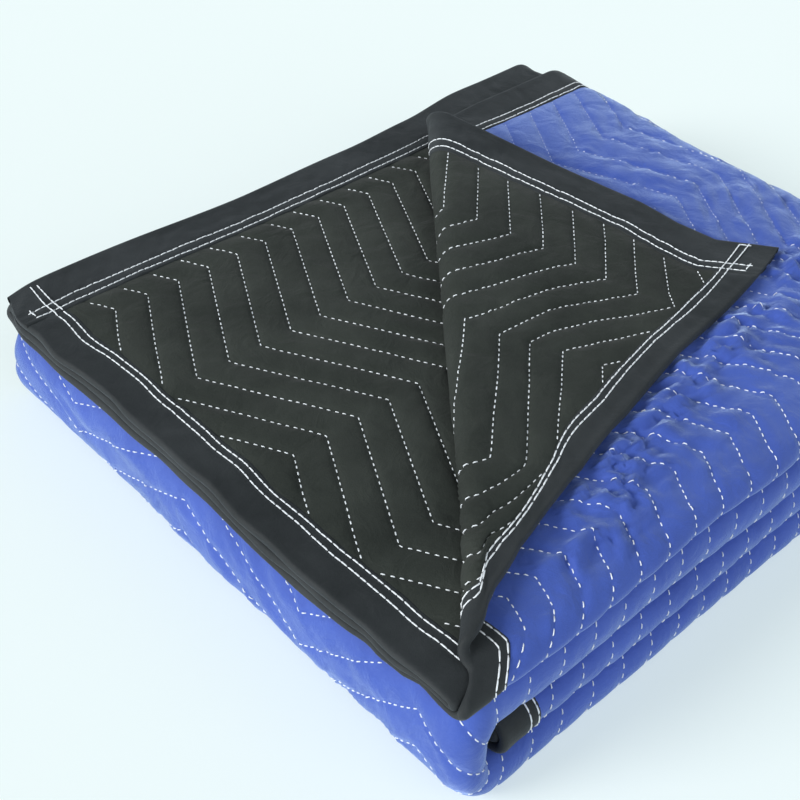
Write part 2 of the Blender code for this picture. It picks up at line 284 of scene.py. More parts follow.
# The long sides. Loose folds lift on the near one: height in the stack, lift, and how much less
# of it there is at the back. On the far one the bound edge bows in, then runs out and rises.
UPPER_Z = (20.0, TOP)
NEAR_V = (300.0, SIDE_NEAR)
LOOSE_Z = (0.0, STRIP, 2.0 * STRIP, 3.0 * STRIP, TOP)
LOOSE_LIFT = (0.0, 1.0, 3.0, 10.0, 0.0)
LESS_AT_BACK, LESS_X = 0.55, (60.0, 560.0)
BILLOW_Z, BILLOW_SHIFT = (4.0, 30.0), 225.0
EDGE_Z = (0.0, 15.0)
OVER_TAPE_V = (58.0, 130.0)
FAR_V = (0.0, 60.0)
FAR_BOW, FAR_BOW_X = 5.0, (60.0, 200.0, 300.0, 380.0)
FAR_OUT, FAR_OUT_X = 6.0, (370.0, 440.0)
FAR_RISE, FAR_RISE_X = 4.0, (370.0, 460.0)


def settle_sides(x, v, z, high):
    """Loose folds lift and billow on the near side; on the far side the bound edge wanders."""
    near = ease(*NEAR_V, v)
    over_tape = (1.0 - ease(*OVER_TAPE_V, v)) * np.maximum(0.0, 1.0 - z / STRIP)
    z = z + (TAPE_OUT - HALF) * over_tape
    z = z + np.interp(z, LOOSE_Z, LOOSE_LIFT) * near * (1.0 - LESS_AT_BACK * ease(*LESS_X, x))
    z = z + high * (lumps(TOP_DENTS, x, v) - 0.5)
    z = z + near * ease(*BILLOW_Z, z) * (1.0 - high) * lumps(NEAR_BILLOWS, x + BILLOW_SHIFT, z)
    v = v + near * (lumps(NEAR_EDGE, x, z) - 1.0) * ease(*EDGE_Z, z)
    far = (1.0 - ease(*FAR_V, v)) * high
    v = v + far * (FAR_BOW * between(*FAR_BOW_X, x) - FAR_OUT * ease(*FAR_OUT_X, x))
    return x, v, z + far * FAR_RISE * ease(*FAR_RISE_X, x)


# The ends. The back one is drawn in and down at the top, most at its far corner. The lower layers
# stand out in front, and the layered ends above them are ragged and bunched near one side.
FRONT_X = (-10.0, 60.0)
FOOT_OUT, FOOT_Z = 2.6, (30.0, 80.0)
BACK_X, BACK_V = (470.0, 560.0), (60.0, 200.0)
BACK_IN, BACK_DOWN = 11.0, 3.0
CORNER_X, CORNER_V, CORNER_IN = (420.0, 500.0), (4.0, 34.0), 9.0
LAYERED_X, LAYERED_Z = (2.0, 40.0), (66.0, 78.0)
BUNCH_V, BUNCH_REACH = 402.0, 34.0
SMOOTH_ABOVE, SMOOTH_Z = 0.85, (83.0, 93.0)

# The first corner is pressed in: middle x and v, reach, and the push along x, v and z.
PRESSED_CORNER = (
    (-16.0, -4.0, 26.0, 9.0, 0.0, -5.0),
    (-22.0, -6.0, 13.0, 7.0, 6.0, 0.0),
)


def settle_ends(x, v, z, high):
    """The back end is drawn down; in front the layered ends are pressed, ragged and bunched."""
    out = lumps(FRONT_EDGE, v, z) + FOOT_OUT * (1.0 - ease(*FOOT_Z, z))
    x = x + (1.0 - ease(*FRONT_X, x)) * out
    back = ease(*BACK_X, x) * ease(*BACK_V, v) * high
    x, z = x - BACK_IN * back, z - BACK_DOWN * back
    x = x - CORNER_IN * (1.0 - ease(*CORNER_V, v)) * high * ease(*CORNER_X, x)
    for middle_x, middle_v, reach, push_x, push_v, push_z in PRESSED_CORNER:
        near = bell(np.hypot(x - middle_x, v - middle_v), reach) * high
        x, v, z = x + push_x * near, v + push_v * near, z + push_z * near
    ends = (1.0 - ease(*LAYERED_X, x)) * ease(*LAYERED_Z, z)
    x = x + ends * lumps(RAGGED_OUT, v, z)
    z = z + ends * lumps(RAGGED_UP, v, z)
    bunched = ends * bell(v - BUNCH_V, BUNCH_REACH) * (1.0 - SMOOTH_ABOVE * ease(*SMOOTH_Z, z))
    x = x + bunched * lumps(BUNCHED_OUT, v, z)
    return x, v, z + bunched * lumps(BUNCHED_UP, v, x)


def settle(x, v, z):
    """Soft dents on top, and sides and ends that wander."""
    high = ease(*UPPER_Z, z)
    return settle_ends(*settle_sides(x, v, z, high), high)


# The front turn hangs over the far side, and its first layer is tucked in round the others, which
# are kept in: where it does, how far it reaches over and across, and the turn that it makes.
TUCK_S = (1060.0, 1170.0, 1300.0, 1400.0)
TUCK_OVER, TUCK_WIDE = 62.0, 300.0
TUCK_AT, TUCK_R = 6.0, 8.0
KEPT_IN, KEPT_WIDE = 9.0, 60.0


def tucked_round(s, t, across, depth):
    """At the front turn the first layer hangs over the far side and is tucked in round it."""
    here = between(*TUCK_S, s)
    moved = across - TUCK_OVER * here * (1.0 - ease(0.0, TUCK_WIDE, t))
    beyond = np.maximum(0.0, TUCK_AT - moved)
    angle = np.minimum(beyond / TUCK_R, QUARTER_TURN)
    rest = beyond - TUCK_R * angle
    away = depth + 0.5 * LAYER
    round_v = np.where(beyond > 0.0, TUCK_AT - (TUCK_R + away) * np.sin(angle), moved)
    round_d = -0.5 * LAYER - TUCK_R + (TUCK_R + away) * np.cos(angle) - rest
    kept_v = across + KEPT_IN * here * (1.0 - ease(0.0, KEPT_WIDE, across))
    tucked = (t < LAYER_ONE) & (here > 0.0)
    return np.where(tucked, round_v, kept_v), np.where(tucked & (beyond > 0.0), round_d, depth)


def place(s, t, h):
    """World positions in metres of points of the cloth, h above its middle on the blue side."""
    shape = np.broadcast(s, t, h).shape
    s, t, h = (np.ravel(k).astype(float) for k in np.broadcast_arrays(s, t, h))
    across, depth, tilt_v, tilt_d = walk(STRIP_TRACK, t)
    across, depth = tucked_round(s, t, across + h * tilt_v, depth + h * tilt_d)
    outer_x, outer_z, out_x, out_z = walk(STACK_TRACK, s)
    z = outer_z + depth * out_z
    x, v = plan(outer_x + depth * out_x, across)
    x = x + pulled_back(s, t)
    v = v + SAG_OUT * v / SIDE_NEAR * np.maximum(0.0, 1.0 - z / (TOP - LAYER))
    upper = (s < FOLD_ONE) & (t < LAYER_ONE)
    x, v, z = settle(*(np.where(upper, a, b) for a, b in zip(turned(s, t, h), (x, v, z))))
    points = np.stack((x - MIDDLE_X, MIDDLE_V - v, np.maximum(z - FLOOR, 0.0)), axis=-1) * MM
    return points.reshape(*shape, 3)


# The faces are sewn together in zigzag rows an inch apart. Between the rows the filling lifts the
# cloth; at each row it is drawn down, and it puckers across the thread.
ROW_PITCH, ROW_SWING, ROW_APEX = 25.4, 26.25, 91.7
ROW_START, FIRST_APEX = 2.8, 100.0
APEXES = tuple(FIRST_APEX + k * ROW_APEX for k in (-1, 0, 1, 2))

# How far the cloth crept under the needles: a column for each DRIFT_S, a row for each DRIFT_T.
DRIFT_S = (0.0, 110.0, 240.0, 480.0, 560.0, 1150.0)
DRIFT_T = (0.0, 100.0, 185.0, 275.0, 375.0, 399.0)
DRIFT = (
    (-52.0, -26.0, 6.0, 52.0, 60.0, 0.0),
    (-52.0, -26.0, 6.0, 50.0, 62.0, 0.0),
    (-52.0, -18.0, 12.0, 26.0, 40.0, 0.0),
    (-38.0, -8.0, 4.0, 12.0, 16.0, 0.0),
    (-4.0, 1.0, 4.0, 4.0, 4.0, 0.0),
    (0.0, 0.0, 0.0, 0.0, 0.0, 0.0),
)
DRIFT_ROUNDS = 14


def row_drift(s, t):
    """Towards the first corner the sewn rows fan out."""
    at = np.interp(t, DRIFT_T, np.arange(6.0))
    shares = (np.maximum(0.0, 1.0 - np.abs(at - i)) for i in range(6))
    return sum(np.interp(s, DRIFT_S, row) * share for row, share in zip(DRIFT, shares))


def zigzag(t):
    """How far the rows swing along the blanket at a distance t across it."""
    phase = ((t - FIRST_APEX) / ROW_APEX) % 2.0
    return ROW_SWING * (1.0 - 2.0 * np.abs(phase - 1.0))


def row_s(k, t):
    """Where sewn row k runs at a distance t across; the drift there is found in a few rounds."""
    even = ROW_START + ROW_PITCH * k + zigzag(t)
    s = even
    for _ in range(DRIFT_ROUNDS):
        s = even + row_drift(s, t)
    return s


# The cloth rises from a row in a steep and a gentle curve, and its relief has ripples along the
# row, sharp pinches, dents and fine wrinkles.
STEEP, GENTLE, STEEP_SHARE = 2.1, 7.0, 0.7
RIPPLE, RIPPLE_SLANT = (0.7, 6.0, 15.0, 0.0), 0.6
PINCH, PINCH_SLANT = (1.0, 13.0, 30.0, 2.0), 0.65
PINCH_DEPTH, PINCH_SHARPNESS = 0.55, 6
DENT = (0.14, 19.0, 23.0, 5.0)
FINE = (0.2, 7.0, 9.0, 9.0)


def quilt(s, t, puff, pucker, seed):
    """Height of the cloth over its sewn rows, from 0 at a row."""
    part = (s - row_drift(s, t) - ROW_START - zigzag(t)) / ROW_PITCH % 1.0
    reach = ROW_PITCH * np.minimum(part, 1.0 - part)
    near_row = np.exp(-reach / GENTLE)
    crown = STEEP_SHARE * (1.0 - np.exp(-reach / STEEP)) + (1.0 - STEEP_SHARE) * (1.0 - near_row)
    ripple = lumps(RIPPLE, t + RIPPLE_SLANT * s, s, seed) * near_row
    pinch = (1.0 - np.abs(lumps(PINCH, t + PINCH_SLANT * s, s, seed))) ** PINCH_SHARPNESS * crown
    plump = crown * (1.0 + lumps(DENT, s, t, seed))
    return puff * plump + pucker * (ripple + lumps(FINE, s, t, seed) - PINCH_DEPTH * pinch)


def feed(tree, socket, value):
    """Give a socket a constant, or join it to another node's output."""
    if isinstance(value, bpy.types.NodeSocket):
        tree.links.new(value, socket)
    else:
        socket.default_value = value


def shade(tree, kind, **inputs):
    """Add a shader node with its inputs fed by name."""
    node = tree.nodes.new(kind)
    for name, value in inputs.items():
        feed(tree, node.inputs[name.replace("_", " ")], value)
    return node


def reckon(tree, operation, *values):
    """Add a maths node with its inputs fed in order."""
    node = tree.nodes.new("ShaderNodeMath")
    node.operation = operation
    for socket, value in zip(node.inputs, values):
        feed(tree, socket, value)
    return node.outputs[0]


def mottle(tree, where, per_metre, detail, roughness, distortion=0.0):
    """Soft noise with so many lumps to the metre."""
    node = shade(
        tree,
        "ShaderNodeTexNoise",
        Vector=where,
        Scale=per_metre,
        Detail=detail,
        Roughness=roughness,
        Distortion=distortion,
    )
    return node.outputs["Fac"]


DYE_PATCHES, RUMPLES = 14.0, 48.0  # to the metre
SLUBS = 0.22  # to a thread
GRAIN_SHARE, TONE_FROM, TONE_TO = 0.55, 0.45, 1.1
WEAR = 0.08


def woven(name, dark, light, sheen, sheen_tint, roughness, threads, relief, crease):
    """Plain-woven polyester: crossing threads, slubs, uneven dye, soft sheen and fine rumples."""
    material = bpy.data.materials.new(name)
    material.use_nodes = True
    tree = material.node_tree
    surface = tree.nodes["Principled BSDF"]
    where = tree.nodes.new("ShaderNodeTexCoord").outputs["Object"]
    dye = mottle(tree, where, DYE_PATCHES, 4.0, 0.6)
    grain = mottle(tree, where, threads, 2.0, 0.7)
    slub = mottle(tree, where, SLUBS * threads, 3.0, 0.7)
    rumple = mottle(tree, where, RUMPLES, 3.0, 0.5, 0.9)

    patches = reckon(tree, "MULTIPLY_ADD", grain, GRAIN_SHARE, dye)
    level = shade(tree, "ShaderNodeMapRange", Value=patches, From_Min=TONE_FROM, From_Max=TONE_TO)
    tone = tree.nodes.new("ShaderNodeMix")
    tone.data_type = "RGBA"
    tone.inputs["A"].default_value = (*dark, 1.0)
    tone.inputs["B"].default_value = (*light, 1.0)
    tree.links.new(level.outputs["Result"], tone.inputs["Factor"])
    tree.links.new(tone.outputs["Result"], surface.inputs["Base Color"])

    worn = shade(tree, "ShaderNodeMapRange", Value=slub, To_Min=roughness - WEAR, To_Max=roughness + WEAR)
    tree.links.new(worn.outputs["Result"], surface.inputs["Roughness"])
    rumpled = shade(tree, "ShaderNodeBump", Height=rumple, Strength=0.6, Distance=crease)
    weave = shade(
        tree,
        "ShaderNodeBump",
        Height=reckon(tree, "ADD", grain, slub),
        Strength=0.5,
        Distance=relief,
        Normal=rumpled.outputs["Normal"],
    )
    tree.links.new(weave.outputs["Normal"], surface.inputs["Normal"])
    surface.inputs["Specular IOR Level"].default_value = 0.28
    surface.inputs["Sheen Weight"].default_value = sheen
    surface.inputs["Sheen Roughness"].default_value = 0.4
    surface.inputs["Sheen Tint"].default_value = (*sheen_tint, 1.0)
    return material


blue_cloth = woven(
    "blue_cloth",
    dark=(0.034, 0.073, 0.36),
    light=(0.060, 0.118, 0.50),
    sheen=1.0,
    sheen_tint=(0.50, 0.66, 1.0),
    roughness=0.62,
    threads=2600.0,
    relief=0.0004,
    crease=0.0026,
)


# The layer on top, the parts of the roll in which it turns over, and where the corner presses it.
TOP_S, TOP_T = (FOLD_ONE, FOLD_ONE + 20.0), (LAYER_ONE, LAYER_ONE + 12.0)
TURNED_OVER = (0.2, 0.8)
PRESSED_FROM, PRESSED_REACH, PRESSED_BY = -70.0, 60.0, 0.85


def bare_top(s, t, side):
    """1 where the top layer lies open to the air on that side, 0 where something lies on it."""
    x, v = plan(END_FIRST + s, EDGE_FIRST + t)
    behind, radius = roll_at(x, v)
    turned_over = ease(*TURNED_OVER, behind / (math.pi * radius))
    upper = (1.0 - ease(*TOP_S, s)) * (1.0 - ease(*TOP_T, t))
    if side == BLACK_SIDE:
        return upper * turned_over
    under_corner = ease(0.0, PRESSED_REACH, FLAP_CORNER[0] - x + PRESSED_REACH)
    under_corner = ease(PRESSED_FROM, 0.0, behind) * under_corner
    return upper * (1.0 - turned_over) * (1.0 - PRESSED_BY * under_corner)


LONG_WIDTH = {BLACK_SIDE: 43.0, BLUE_SIDE: 32.0}
END_WIDTH = 30.0
CLEAR = (-4.0, 10.0)  # from the border of the tape inwards


def clear_of_tape(s, t, side):
    """0 under the tape round the edges, 1 well inside it."""
    from_side = np.minimum(t, WIDTH - t) - LONG_WIDTH[side]
    from_end = np.minimum(s, LENGTH - s) - END_WIDTH
    return ease(*CLEAR, np.minimum(from_side, from_end))


EDGE_POINTS = 60
GATHER_REACH, GATHER_FROM = 46.0, (-2.0, 9.0)
GATHER_T = (LAYER_ONE - 10.0, LAYER_ONE + 25.0)


def beside_turned_edge(s, t):
    """1 right beside the end tape of the turned corner, fading with distance from it."""
    edge_t = np.linspace(0.0, LAYER_ONE, EDGE_POINTS)
    none = np.zeros(EDGE_POINTS)
    edge = place(none, edge_t, none)[:, :2] / MM
    ahead = np.gradient(edge, axis=0)
    outward = np.stack((ahead[:, 1], -ahead[:, 0]), axis=-1)
    outward = outward / np.linalg.norm(outward, axis=-1, keepdims=True)
    outward = outward * np.where(outward[:, 1:] > 0.0, -1.0, 1.0)
    here = place(s, t, np.zeros(np.shape(s)))[..., :2].reshape(-1, 2) / MM
    near, outside = np.full(len(here), np.inf), np.zeros(len(here))
    for point, normal in zip(edge, outward):
        away = here - point
        square = (away**2).sum(-1)
        outside = np.where(square < near, away @ normal, outside)
        near = np.minimum(near, square)
    fade = np.exp(-near / GATHER_REACH**2) * ease(*GATHER_FROM, outside)
    layer = (s < FOLD_ONE) * (1.0 - ease(*GATHER_T, t))
    return fade.reshape(np.shape(s)) * layer


BEND_S, BEND_T = (6.0, 19.0, 17.0, 51.0), (6.0, 18.0, 20.0, 52.0)
FOLDS, SMALL_FOLDS = (1.0, 13.0, 9.0, 53.0), (1.0, 7.5, 6.5, 54.0)
SWELL = (2.0, 18.0, 15.0, 55.0)
FOLD_HEIGHT, SMALL_HEIGHT, CRUMPLE_SINK = 10.0, 4.0, 2.6
FOLD_SLANT, FOLD_ROUND = 0.6, 0.8


def crumple(s, t):
    """Sharp little folds with rounded backs, as in gathered cloth."""
    s, t = s + lumps(BEND_S, s, t), t + lumps(BEND_T, s, t)
    folds = np.abs(lumps(FOLDS, s + FOLD_SLANT * t, t)) ** FOLD_ROUND
    small = np.abs(lumps(SMALL_FOLDS, s, t)) ** FOLD_ROUND
    return FOLD_HEIGHT * folds + SMALL_HEIGHT * small + lumps(SWELL, s, t) - CRUMPLE_SINK


# How plump and how puckered the blue face is: pressed flat, and how much more where it lies open.
BLUE_SEED = 11.0
BLUE_PUFF, BLUE_PUFF_OPEN = 1.0, 0.9
BLUE_PUCKER, BLUE_PUCKER_OPEN = 0.3, 0.7
NEAR_FOLD_PUFF = 0.1
NEAR_FOLDS_T = (LAYER_ONE - 12.0, LAYER_ONE + 6.0, LAYER_ONE + 30.0, LAYER_ONE + 50.0)
OUTER_T = (LAYER_ONE - 6.0, LAYER_ONE + 8.0)
BACK_END_S = (FOLD_ONE - 5.0, FOLD_ONE + 10.0, FOLD_ONE + 100.0, FOLD_ONE + 118.0)
FRONT_END_S = (FRONT_END - 5.0, FRONT_END + 10.0, FRONT_END + 84.0, FRONT_END + 100.0)
WRINKLES_FROM = (58.0, 90.0)  # from the edges inwards
FAR_WRINKLES, FAR_WRINKLES_S = 1.3, (300.0, 420.0)
FRONT_WRINKLES = 2.0


def blue_height(s, t):
    """Height of the blue face: plump where it is open to the air, pressed flat in the stack."""
    open_top = bare_top(s, t, BLUE_SIDE)
    near_folds = between(*NEAR_FOLDS_T, t)
    outer = 1.0 - ease(*OUTER_T, t)
    back_end, front_end = outer * between(*BACK_END_S, s), outer * between(*FRONT_END_S, s)
    ends = np.maximum(back_end, front_end)
    lively = np.maximum(np.maximum(open_top, NEAR_FOLD_PUFF * near_folds), ends)
    wrinkled = open_top * (1.0 + FAR_WRINKLES * ease(*FAR_WRINKLES_S, s))
    wrinkled = np.maximum(wrinkled, FRONT_WRINKLES * front_end) * ease(*WRINKLES_FROM, np.minimum(s, t))
    puff = BLUE_PUFF + BLUE_PUFF_OPEN * lively
    pucker = BLUE_PUCKER + BLUE_PUCKER_OPEN * lively + wrinkled
    gathered = beside_turned_edge(s, t) * open_top * crumple(s, t)
    raised = np.maximum(0.0, quilt(s, t, puff, pucker, BLUE_SEED) + gathered)
    return HALF + clear_of_tape(s, t, BLUE_SIDE) * raised


def stops(start, stretches):
    """Stops over stretches that each have an end and the spacing wanted up to it."""
    result = []
    for end, spacing in stretches:
        count = max(1, math.ceil((end - start) / spacing))
        result.append(start + (end - start) * np.arange(count) / count)
        start = end
    return np.concatenate(result + [[start]])


# Lines along the cloth follow the sewn rows: the parts of a row at which they run.
FINE_ROW = (0.0, 0.07, 0.16, 0.29, 0.43, 0.57, 0.71, 0.84, 0.93)
FAIR_ROW = (0.0, 0.12, 0.35, 0.65, 0.88)
PLAIN_ROW = (0.0, 0.33, 0.67)
ALL_THE_REST = 9000.0


def row_stops(zones):
    """Row numbers with parts of rows, for zones that each have an end along the cloth."""
    row, result = -4.0, []
    while row * ROW_PITCH < LENGTH + 2.0 * ROW_SWING + ROW_PITCH:
        middle = row * ROW_PITCH + 0.5 * ROW_PITCH
        parts = next(k for end, k in zones if middle < end)
        result.extend(row + np.array(parts))
        row += 1.0
    return np.array(result)


def cloth_grid(zones, t_stops):
    """Points s, t on lines along the sewn rows, cut off square at both ends."""
    row, t = np.meshgrid(row_stops(zones), t_stops, indexing="ij")
    return np.clip(row_s(row, t), TAPE_OUT, LENGTH - TAPE_OUT), np.clip(t, TAPE_OUT, WIDTH - TAPE_OUT)


def soft_piece(name, points, faces, material):
    """A smooth mesh riding on the stack, from points and lists of like-cornered faces."""
    corners = np.concatenate([np.full(len(k), k.shape[1]) for k in faces])
    mesh = bpy.data.meshes.new(name)
    mesh.vertices.add(len(points))
    mesh.vertices.foreach_set("co", points.ravel())
    mesh.loops.add(int(corners.sum()))
    mesh.loops.foreach_set("vertex_index", np.concatenate([k.ravel() for k in faces]))
    mesh.polygons.add(len(corners))
    mesh.polygons.foreach_set("loop_start", np.cumsum(corners) - corners)
    mesh.polygons.foreach_set("use_smooth", np.ones(len(corners), bool))
    mesh.update(calc_edges=True)
    mesh.validate()
    mesh.materials.append(material)
    piece = bpy.data.objects.new(name, mesh)
    bpy.context.scene.collection.objects.link(piece)
    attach(piece, "root")
    return piece


def cloth_piece(name, points, flip, material):
    """A sheet over a grid of points, its outer side up as it is laid, or flipped."""
    rows, columns = points.shape[:2]
    index = np.arange(rows * columns).reshape(rows, columns)
    a, b, c, d = index[:-1, :-1], index[1:, :-1], index[1:, 1:], index[:-1, 1:]
    quads = np.stack((a, b, c, d) if flip else (a, d, c, b), axis=-1).reshape(-1, 4)
    return soft_piece(name, points.reshape(-1, 3), [quads], material)


open_t = stops(0.0, [(end, 3.6) for end in (*APEXES, LAYER_ONE)])
near_fold_t = stops(LAYER_ONE, [(NEAR_FOLD_END, 3.0)])
inner_t = stops(
    NEAR_FOLD_END,
    [
        (FAR_FOLD, 34.0),
        (FAR_FOLD_END, 3.4),
        (INNER_FOLD, 34.0),
        (INNER_FOLD_END, 3.4),
        (WIDTH - 40.0, 34.0),
        (WIDTH, 10.0),
    ],
)
blue_zones = [
    (545.0, FINE_ROW),
    (1150.0, FAIR_ROW),
    (1300.0, FINE_ROW),
    (1830.0, FAIR_ROW),
    (ALL_THE_REST, PLAIN_ROW),
]
s, t = cloth_grid(blue_zones, np.unique(np.concatenate((open_t, near_fold_t, inner_t))))
blue_face = cloth_piece("blue_face_cloth", place(s, t, blue_height(s, t)), True, blue_cloth)
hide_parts("blue_face")

# --- Black back ---------------------------------------------------------------------------------
# The other face: the same polyester cloth in black, quilted to the blue face. It shows on the
# corner that is turned back and on the layer below it.
black_cloth = woven(
    "black_cloth",
    dark=(0.008, 0.012, 0.010),
    light=(0.043, 0.051, 0.045),
    sheen=0.12,
    sheen_tint=(0.75, 0.75, 0.80),
    roughness=0.78,
    threads=1900.0,
    relief=0.0005,
    crease=0.0030,
)

# How plump and how puckered the black face is: pressed flat, and how much more where it shows.
BLACK_SEED = 23.0
BLACK_PUFF, BLACK_PUFF_OPEN = 1.15, 1.2
BLACK_PUCKER, BLACK_PUCKER_OPEN, CORNER_PUCKER = 0.25, 0.5, 0.8
BELOW_T, BELOW_S = (1270.0, 1300.0), (430.0, 520.0)


def black_height(s, t):
    """Height of the black face: plump on the turned corner and on the layer below it."""
    corner = bare_top(s, t, BLACK_SIDE)
    below = ease(*BELOW_T, t) * (1.0 - ease(*BELOW_S, s))
    lively = np.maximum(corner, below)
    puff = BLACK_PUFF + BLACK_PUFF_OPEN * lively
    pucker = BLACK_PUCKER + BLACK_PUCKER_OPEN * lively
    pucker = pucker + CORNER_PUCKER * corner * ease(*WRINKLES_FROM, np.minimum(s, t))
    raised = np.maximum(0.0, quilt(s, t, puff, pucker, BLACK_SEED))
    return -HALF - clear_of_tape(s, t, BLACK_SIDE) * raised


folded_t = stops(
    LAYER_ONE,
    [(NEAR_FOLD_END, 10.0), (FAR_FOLD, 45.0), (FAR_FOLD_END, 10.0), (INNER_FOLD, 45.0)],
)
below_t = stops(INNER_FOLD, [(end, 3.6) for end in (INNER_FOLD_END, 1345.0, 1400.0, WIDTH)])
black_zones = [(480.0, FINE_ROW), (690.0, PLAIN_ROW), (ALL_THE_REST, (0.0, 0.5))]
s, t = cloth_grid(black_zones, np.unique(np.concatenate((open_t, folded_t, below_t))))
black_back = cloth_piece("black_back_cloth", place(s, t, black_height(s, t)), False, black_cloth)
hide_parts("black_back")

# --- Long bindings ------------------------------------------------------------------------------
# Black woven tape folded over each long edge, 43 mm wide at the back and 32 mm in front. It is
# sewn through with two rows of stitches and lies over the ends of the end bindings.
black_tape = woven(
    "black_tape",
    dark=(0.007, 0.010, 0.012),
    light=(0.038, 0.044, 0.049),
    sheen=0.14,
    sheen_tint=(0.72, 0.80, 0.90),
    roughness=0.66,
    threads=2200.0,
    relief=0.0004,
    crease=0.0015,
)
LONG_ROWS = {BLACK_SIDE: (31.0, 38.6), BLUE_SIDE: (23.6, 29.4)}
SEED_LONG_FIRST, SEED_LONG_LAST = 31.0, 37.0
SUNK_BY, SUNK_REACH = 0.5, 1.7  # the tape is drawn down at its sewn rows
THINNEST, HIGHEST_CREASE = 0.35, 0.1
CREASE, CREASE_SLANT = (0.50, 6.5, 15.0, 0.0), 0.65
LONG_CREASE, CREASE_SINK = (0.38, 17.0, 9.0, 3.0), 0.4
CREASED_FROM = (2.0, 9.0)

# The border of the tape is tucked down to the cloth: steps in from it, and share of full height.
# More steps run on to the bound edge, and the tape is round there.
BORDER_STEPS, BORDER_LIFT = (0.0, 0.25, 1.0), (-0.2, 0.6, 1.0)
NEXT_STEP, STEP, STEPS_SHORT = 3.4, 1.9, 1.5
ROUND_POINTS, NEARLY_FLAT = 11, 0.999


def tape_section(widths):
    """Distance from the bound edge, side and lift, from the back border round to the front one."""

    def strip(width, side):
        inner_steps = np.arange(NEXT_STEP, width - TAPE_OUT - STEPS_SHORT, STEP)
        steps = np.concatenate((BORDER_STEPS, inner_steps))
        lift = np.ones(len(steps))
        lift[: len(BORDER_LIFT)] = BORDER_LIFT
        return [(width - step, side, k) for step, k in zip(steps, lift)]

    angles = np.linspace(0.0, math.pi, ROUND_POINTS)
    round_edge = [(TAPE_OUT * (1.0 - math.sin(a)), -math.cos(a), 1.0) for a in angles]
    back, front = strip(widths[BLACK_SIDE], BLACK_SIDE), strip(widths[BLUE_SIDE], BLUE_SIDE)
    return np.array(back + round_edge + front[::-1])


def tape_face(along, d, rows, seed):
    """Height of the tape on one side: down at its sewn rows, creased a little across."""
    sunk = SUNK_BY * sum(bell(d - row, SUNK_REACH) for row in rows)
    crease = lumps(CREASE, along + CREASE_SLANT * d, d, seed) + lumps(LONG_CREASE, along, d, seed)
    crease = np.minimum(crease - CREASE_SINK, HIGHEST_CREASE) * ease(*CREASED_FROM, d)
    return np.maximum(TAPE_OUT - sunk + crease, HALF + THINNEST)


def tape_height(along, d, side, lift, rows, seed):
    """Height of the tape anywhere on its section."""
    back = tape_face(along, d, rows[BLACK_SIDE], seed)
    front = tape_face(along, d, rows[BLUE_SIDE], seed + 1.0)
    h = np.where(np.less(side, 0.0), back, front)
    h = np.where(np.less(lift, 1.0), HALF + lift * (h - HALF), h)
    return np.where(np.abs(side) < NEARLY_FLAT, TAPE_OUT, h) * side


def binding(name, node, widths, rows, along_stops, spot, flip, seed):
    """One folded tape as an open U, from its border at the back to its border in front."""
    section = tape_section(widths)
    along, d = np.meshgrid(along_stops, section[:, 0], indexing="ij")
    side, lift = (np.broadcast_to(section[:, k], d.shape) for k in (1, 2))
    s, t, h = spot(along, d, tape_height(along, d, side, lift, rows, seed))
    piece = cloth_piece(name, place(s, t, h), flip, black_tape)
    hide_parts(node)
    return piece


def on_long_first(along, d, h):
    return along, d, h


def on_long_last(along, d, h):
    return along, WIDTH - d, h


long_stops = stops(
    0.0,
    [(560.0, 2.6), (700.0, 6.0), (1150.0, 6.0), (1300.0, 6.0), (1860.0, 6.0), (LENGTH, 6.0)],
)
binding_long_first = binding(
    "binding_long_first_tape",
    "binding_long_first",
    LONG_WIDTH,
    LONG_ROWS,
    long_stops,
    on_long_first,
    True,
    SEED_LONG_FIRST,
)
binding_long_last = binding(
    "binding_long_last_tape",
    "binding_long_last",
    LONG_WIDTH,
    LONG_ROWS,
    long_stops,
    on_long_last,
    False,
    SEED_LONG_LAST,
)

# --- End bindings -------------------------------------------------------------------------------
# The same black tape over both ends of the blanket, 30 mm wide on both sides. It is sewn on
# first, so its own ends are caught flat under the long bindings.
END_WIDTHS = {BLACK_SIDE: END_WIDTH, BLUE_SIDE: END_WIDTH}
END_ROWS = {BLACK_SIDE: (21.6, 27.4), BLUE_SIDE: (21.6, 27.4)}
END_CUT = 6.0  # the tape stops this far from the long edges
SEED_END_FIRST, SEED_END_LAST = 41.0, 43.0
CAUGHT = 0.25  # how far the caught end stands above the cloth
SLIPPED_IN = (-1.0, 2.5)  # from the border of the long tape inwards


def under_long(t, h):
    """An end tape slips in under the long tapes at both its ends."""
    wide = np.where(h > 0.0, LONG_WIDTH[BLUE_SIDE], LONG_WIDTH[BLACK_SIDE])
    inside = ease(*SLIPPED_IN, np.minimum(t, WIDTH - t) - wide)
    return np.sign(h) * np.minimum(np.abs(h), HALF + CAUGHT + (TAPE_OUT - HALF) * inside)


def on_end_first(along, d, h):
    return d, along, under_long(along, h)


def on_end_last(along, d, h):
    return LENGTH - d, along, under_long(along, h)


end_stops = stops(
    END_CUT,
    [
        (LAYER_ONE, 2.6),
        (NEAR_FOLD_END, 2.6),
        (FAR_FOLD, 5.0),
        (FAR_FOLD_END, 1.4),
        (INNER_FOLD, 5.0),
        (INNER_FOLD_END, 1.4),
        (WIDTH - END_CUT, 5.0),
    ],
)
binding_end_first = binding(
    "binding_end_first_tape",
    "binding_end_first",
    END_WIDTHS,
    END_ROWS,
    end_stops,
    on_end_first,
    False,
    SEED_END_FIRST,
)
binding_end_last = binding(
    "binding_end_last_tape",
    "binding_end_last",
    END_WIDTHS,
    END_ROWS,
    end_stops,
    on_end_last,
    True,
    SEED_END_LAST,
)

